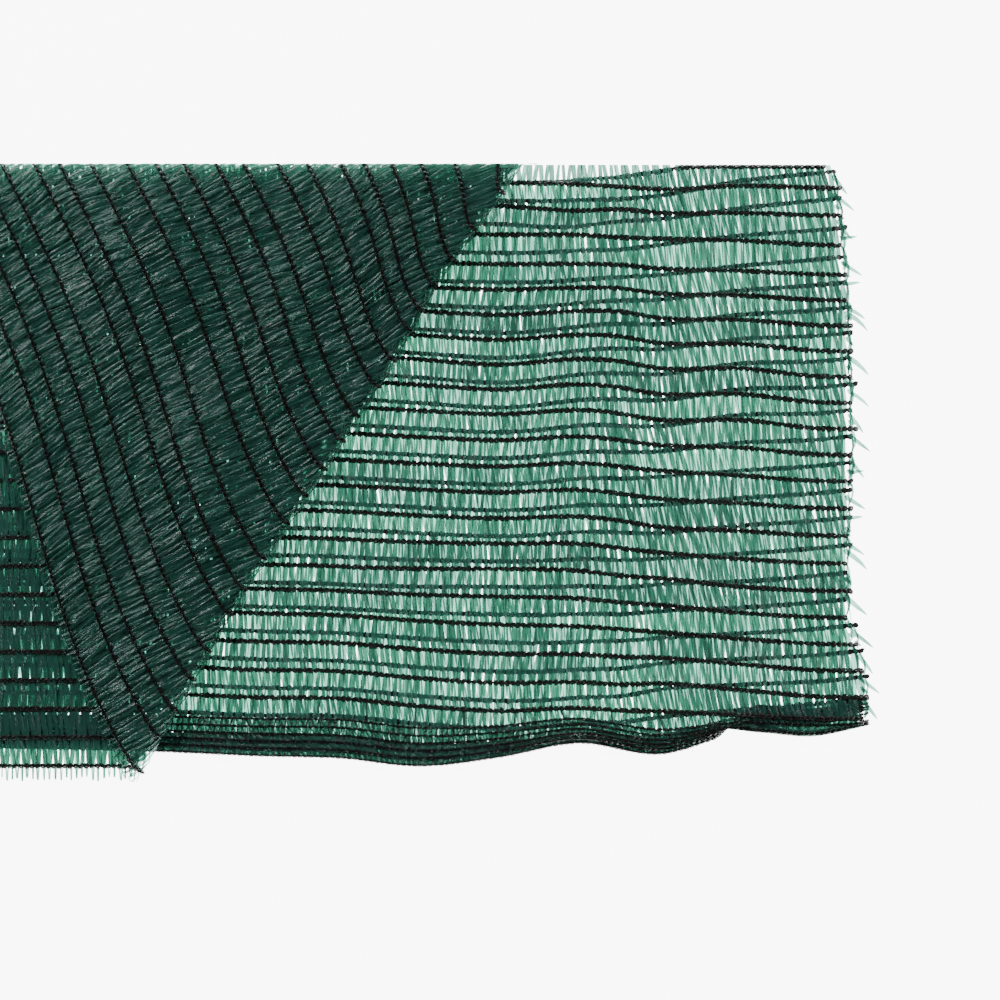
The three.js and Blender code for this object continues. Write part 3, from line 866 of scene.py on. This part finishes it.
def base_chain_rows(random, fold):
    """The chains of a base layer, with their loose ends past the cut, and the close ones of the selvedge."""
    groups = []
    layer = 2 if fold == UPPER_BASE else 1
    for chain in range(BASE_CHAINS + SELVEDGE_CHAINS):
        height = base_height(np.array([fold]), np.array([float(chain)]), np.array([MIDWAY]))
        covered = crease_edge(height)[0] - BASE_FINE_MARGIN if fold == UPPER_BASE else PAST_EVERY_END
        loose = CHAIN_END_LENGTHS[(chain + 2 * layer) % len(CHAIN_END_LENGTHS)]
        wide = 1.0 if chain < BASE_CHAINS else SELVEDGE_CHAIN_SHARE
        end = base_end(chain) + loose
        groups.append(chain_row(random, fold, chain, end, plain_before=covered, wide=wide))
    if fold == UPPER_BASE:
        end = base_end(UPPER_EDGE_LINE) - 1
        groups.append(chain_row(random, fold, UPPER_EDGE_LINE, end, start=UPPER_EDGE_FROM))
    else:
        groups.append(chain_row(
            random, fold, LINES["top"], LOWER_EDGE_TO, start=LOWER_EDGE_FROM, plain_before=PAST_EVERY_END
        ))
    return stacked(groups)


def cover_chain_rows(random, fold, number):
    """The chains of a covering layer, flat and turned back. Only the ones that show are fine."""
    groups = []
    for chain in range(FLAP_CHAINS):
        y = cover_height(np.array([float(chain)]), SETTLE_TO)
        end = cover_end(y, number)[0] + STITCH
        crease = crease_axis(y)[0]
        if fold == COVER_UNDER:
            covered = crease - FLAP_FINE_MARGIN
            groups.append(chain_row(random, fold, chain, end, plain_before=covered, wide=FLAP_CHAIN_SHARE))
            continue
        shows = min(max(60.0 - 0.5 * y[0], 0.0), crease)
        groups.append(chain_row(random, fold, chain, shows))
        groups.append(chain_row(random, fold, chain, end, start=shows, plain_before=PAST_EVERY_END))
    return stacked(groups)


def thread_rows():
    """The short yarns that run across the selvedge between its chains."""
    random = np.random.default_rng(THREAD_SEED)
    groups = []
    for fold in (UPPER_BASE, LOWER_BASE):
        for line in range(SELVEDGE_CHAINS):
            row = tape_row(random, fold, BASE_CHAINS - 1 + line, base_end(BASE_CHAINS), wide=THREAD_SHARE)
            row["kind"][:] = 0
            if line == 0:
                row = {name: values[::STRAY_THREAD_STEP] for name, values in row.items()}
            else:
                kept = row["x"] < THREADS_END
                row = {name: values[kept] for name, values in row.items()}
            groups.append(row)
    return stacked(groups)


def ribbon(middle, half_widths, twist):
    """A flat strip along a path that lies about level, turned on its own axis by the twist at each point."""
    course = np.gradient(middle, axis=0)
    course /= np.linalg.norm(course, axis=1)[:, None]
    side = np.stack([-course[:, 1] * np.cos(twist), course[:, 0] * np.cos(twist), np.sin(twist)], 1)
    points, faces, spread = [], [], []
    for number, (place, beside, half) in enumerate(zip(middle, side, half_widths)):
        points += [place - beside * half, place + beside * half]
        along = number / (len(middle) - 1)
        spread += [(0, along), (1, along)]
        if number:
            last = 2 * number
            faces.append((last - 2, last - 1, last + 1, last))
    return points, faces, spread


def sprung_tape(random, fold, layer, line, habit):
    """A cut tape that has sprung out of the end, straight or a little bent, and tapers to a point."""
    below, reach, fall, width = habit
    root_line = np.array([line + below])
    root_x = cross_cut(root_line)
    root_y = base_height(np.array([fold]), root_line, root_x)[0]
    stations = np.array([-0.4, 0.0, 0.35, 0.7, 1.0])
    bend = random.uniform(-0.7, 0.9)
    ahead = np.clip(stations, 0, None)
    x = root_x[0] + reach * (ahead + bend * 0.25 * ahead * (1 - ahead)) + 1.2 * np.clip(stations, None, 0)
    y = root_y - fall * (ahead - bend * 0.4 * ahead * (1 - ahead)) - 2.5 * np.clip(stations, None, 0)
    z = np.full(len(x), layer_middle(layer)) + 0.25 * ahead * random.uniform(-1, 1)
    half_widths = 0.5 * width * np.array([1, 1.1, 1, 0.75, 0.2])
    twist = random.uniform(-0.3, 0.3) + random.uniform(-0.5, 0.5) * ahead
    return ribbon(np.stack([x, y, z], 1), half_widths, twist)


def hanging_tape(random, fold, layer, line):
    """The last leg of tape at the cut, still held by its two chains."""
    lines = line + np.array([-0.04, 0.2, 0.45, 0.7, 1.02]) * random.uniform(0.8, 1)
    bulge = random.uniform(0.3, 1.5) * np.array([0, 0.7, 1, 0.8, 0.1])
    x = cross_cut(lines) + bulge - 0.2
    y = base_height(np.full(len(x), fold), lines, x)
    z = np.full(len(x), layer_middle(layer)) + random.uniform(-0.12, 0.12, len(x))
    half_widths = random.uniform(0.22, 0.5) * np.array([0.7, 1, 1, 0.9, 0.6])
    return ribbon(np.stack([x, y, z], 1), half_widths, random.uniform(-0.5, 0.5, len(x)))


def loose_tapes(name, fold, layer, finish):
    """The tape ends that stick out of a base layer's cut and the ones that hang along it."""
    random = np.random.default_rng(LOOSE_SEED + layer)
    strips = []
    for chain in range(BASE_CHAINS - 1):
        habit = TAPE_ENDS[(chain * 4 + layer * 5) % len(TAPE_ENDS)]
        if chain % 3 != layer:
            strips.append(sprung_tape(random, fold, layer, chain, habit))
        if chain % 2 == layer % 2:
            strips.append(sprung_tape(random, fold, layer, chain + habit[0], SHORT_TAPE_END))
        for _ in range(random.integers(1, 3)):
            strips.append(hanging_tape(random, fold, layer, chain))
    points, faces, spread, tones = [], [], [], []
    for more_points, more_faces, more_spread in strips:
        faces += [tuple(number + len(points) for number in face) for face in more_faces]
        points += more_points
        spread += more_spread
        tones += [random.uniform(0.3, 1.0)] * len(more_points)
    made = mesh_object(name, in_metres(np.array(points)), faces, spread)
    made.data.attributes.new("tone", "FLOAT", "POINT").data.foreach_set("value", tones)
    made.data.materials.append(finish)
    return made


def paint(name):
    """An empty node material and the tree to build it in."""
    material = bpy.data.materials.new(name)
    material.use_nodes = True
    material.node_tree.nodes.clear()
    return material, NodeTree(material.node_tree)


def tape_finish():
    """Thin green film, streaked along its length: it lets light through and has a satin gloss."""
    material, tree = paint("green_tape")
    tone = tree.add("ShaderNodeAttribute", {"attribute_name": "tone"})["Fac"]
    pattern = tree.add("ShaderNodeUVMap", {"uv_map": "UVMap"})
    parts = tree.add("ShaderNodeSeparateXYZ", None, {0: pattern})
    along = tree.add(
        "ShaderNodeCombineXYZ", None, {"X": parts["X"] * 3.4, "Y": parts["Y"] * 0.9, "Z": tone * 40}
    )
    streaks = tree.add("ShaderNodeTexNoise", None, {"Vector": along, "Scale": 2.0, "Detail": 1.0})
    thin = tree.add(
        "ShaderNodeMapRange",
        {"interpolation_type": "SMOOTHSTEP"},
        {
            "Value": streaks["Fac"] + tone * 0.4,
            "From Min": 0.42,
            "From Max": 0.95,
            "To Min": 0.055,
            "To Max": 0.27,
        },
    )
    colour = tree.add(
        "ShaderNodeMix",
        {"data_type": "RGBA"},
        {0: streaks["Fac"] * 0.6 + tone * 0.4, 6: (0.005, 0.036, 0.028, 1), 7: (0.02, 0.1, 0.078, 1)},
    )[2]
    crumpled = tree.add(
        "ShaderNodeCombineXYZ", None, {"X": parts["X"] * 2.4, "Y": parts["Y"] * 8, "Z": tone * 60}
    )
    creases = tree.add("ShaderNodeTexNoise", None, {"Vector": crumpled, "Scale": 1.6, "Detail": 2.0})
    bump = tree.add(
        "ShaderNodeBump", None, {"Height": creases["Fac"], "Strength": 0.38, "Distance": 0.0007}
    )
    film = tree.add(
        "ShaderNodeBsdfPrincipled",
        None,
        {
            "Base Color": colour,
            "Roughness": 0.12 + streaks["Fac"] * 0.16,
            "IOR": 1.45,
            "Normal": bump["Normal"],
        },
    )
    clear = tree.add("ShaderNodeBsdfTransparent", None, {"Color": (0.36, 0.84, 0.66, 1)})
    glow = tree.add("ShaderNodeBsdfTranslucent", None, {"Color": (0.014, 0.045, 0.032, 1)})
    lit = tree.add("ShaderNodeAddShader", None, {0: film, 1: glow})
    skin = tree.add("ShaderNodeMixShader", None, {0: thin, 1: lit, 2: clear})
    tree.add("ShaderNodeOutputMaterial", None, {"Surface": skin})
    return material


def yarn_finish():
    """Charcoal yarn with a dull sheen."""
    material, tree = paint("charcoal_yarn")
    tone = tree.add("ShaderNodeAttribute", {"attribute_name": "tone"})["Fac"]
    place = tree.add("ShaderNodeTexCoord")["Object"]
    fibres = tree.add("ShaderNodeTexNoise", None, {"Vector": place, "Scale": 2400.0, "Detail": 2.0})
    colour = tree.add(
        "ShaderNodeMix",
        {"data_type": "RGBA"},
        {0: tone * 0.6 + fibres["Fac"] * 0.4, 6: (0.004, 0.003, 0.003, 1), 7: (0.026, 0.02, 0.02, 1)},
    )[2]
    yarn = tree.add(
        "ShaderNodeBsdfPrincipled",
        None,
        {"Base Color": colour, "Roughness": 0.28 + fibres["Fac"] * 0.3},
    )
    tree.add("ShaderNodeOutputMaterial", None, {"Surface": yarn})
    return material


def floor_finish():
    """White board that glows a little, as a lit product table does."""
    material, tree = paint("white_table")
    place = tree.add("ShaderNodeTexCoord")["Object"]
    cloudy = tree.add("ShaderNodeTexNoise", None, {"Vector": place, "Scale": 3.0, "Detail": 1.0})
    board = tree.add(
        "ShaderNodeBsdfPrincipled",
        None,
        {
            "Base Color": (0.86, 0.86, 0.86, 1),
            "Roughness": 0.6 + cloudy["Fac"] * 0.1,
            "Emission Color": (1, 1, 1, 1),
            "Emission Strength": 8.5,
        },
    )
    tree.add("ShaderNodeOutputMaterial", None, {"Surface": board})
    material.cycles.emission_sampling = "NONE"
    return material


green_tape = tape_finish()
charcoal_yarn = yarn_finish()

knitted_tapes = knit(
    "net_tapes", tape_units, green_tape, tape_rows(), seed=3, size_spread=0.05, roll_spread=0.3
)
net_tapes = folded("net_tapes", knitted_tapes, green_tape)
chain_random = np.random.default_rng(CHAIN_SEED)
CHAIN_PIECES = (
    ("chains_upper_base", base_chain_rows(chain_random, UPPER_BASE), True),
    ("chains_lower_base", base_chain_rows(chain_random, LOWER_BASE), True),
    ("chains_cover_top", cover_chain_rows(chain_random, COVER_TOP, 4), False),
    ("chains_cover_under", cover_chain_rows(chain_random, COVER_UNDER, 3), True),
)
chains = []
for seed, (name, rows, mirrored) in enumerate(CHAIN_PIECES, 11):
    knitted = knit(name, stitch_units, charcoal_yarn, rows, seed, size_spread=0.06, roll_spread=0.12)
    chains.append(folded(name, knitted, charcoal_yarn, mirrored))
knitted_threads = knit(
    "selvedge_threads", tape_units, charcoal_yarn, thread_rows(), seed=31, size_spread=0.1, roll_spread=0.2
)
selvedge_threads = folded("selvedge_threads", knitted_threads, charcoal_yarn)
loose_upper = loose_tapes("loose_tapes_upper", UPPER_BASE, 2, green_tape)
loose_lower = loose_tapes("loose_tapes_lower", LOWER_BASE, 1, green_tape)

# What each piece rides on and stands for
for piece in (net_tapes, *chains, selvedge_threads):
    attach(piece, "root")
    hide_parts("net_sheet")
for piece, node in ((loose_upper, "frayed_end_upper"), (loose_lower, "frayed_end_lower")):
    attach(piece, "root")
    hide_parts(node)

# The white table, the light and the camera straight above, in metres. The view's centre is in millimetres in
# the cloth's own frame, and the sensor's width in millimetres
FRAME_WIDTH = 0.316
VIEW_CENTRE = (165.9, 88.5)
CAMERA_HEIGHT = 1.5
SENSOR = 36.0
FLOOR = -0.0003
REACH = 3
WORLD_LIGHT = 0.2
centre = in_metres(np.array([*VIEW_CENTRE, 0]))

floor_corners = [
    (-REACH, -REACH, FLOOR), (REACH, -REACH, FLOOR), (REACH, REACH, FLOOR), (-REACH, REACH, FLOOR),
]
floor = mesh_object("table", floor_corners, [(0, 1, 2, 3)])
floor.data.materials.append(floor_finish())


def soft_box(name, place, size, power):
    """A square lamp that faces the middle of the cloth."""
    lamp = bpy.data.lights.new(name, "AREA")
    lamp.size = size
    lamp.energy = power
    made = bpy.data.objects.new(name, lamp)
    made.location = place
    made.rotation_euler = (Vector(centre) - Vector(place)).to_track_quat("-Z", "Y").to_euler()
    bpy.context.scene.collection.objects.link(made)


soft_box("key_light", place=(-1.0, 1.15, 0.95), size=0.45, power=30)
soft_box("side_light", place=(1.2, 0.3, 1.1), size=0.3, power=8)

world = bpy.data.worlds.new("studio")
bpy.context.scene.world = world
world.use_nodes = True
world.node_tree.nodes["Background"].inputs["Color"].default_value = (1, 1, 1, 1)
world.node_tree.nodes["Background"].inputs["Strength"].default_value = WORLD_LIGHT

lens = bpy.data.cameras.new("camera")
lens.sensor_width = SENSOR
lens.lens = SENSOR * CAMERA_HEIGHT / FRAME_WIDTH
lens.clip_start = 0.01
lens.clip_end = 20
camera = bpy.data.objects.new("camera", lens)
camera.location = (centre[0], centre[1], CAMERA_HEIGHT)
bpy.context.scene.collection.objects.link(camera)
bpy.context.scene.camera = camera
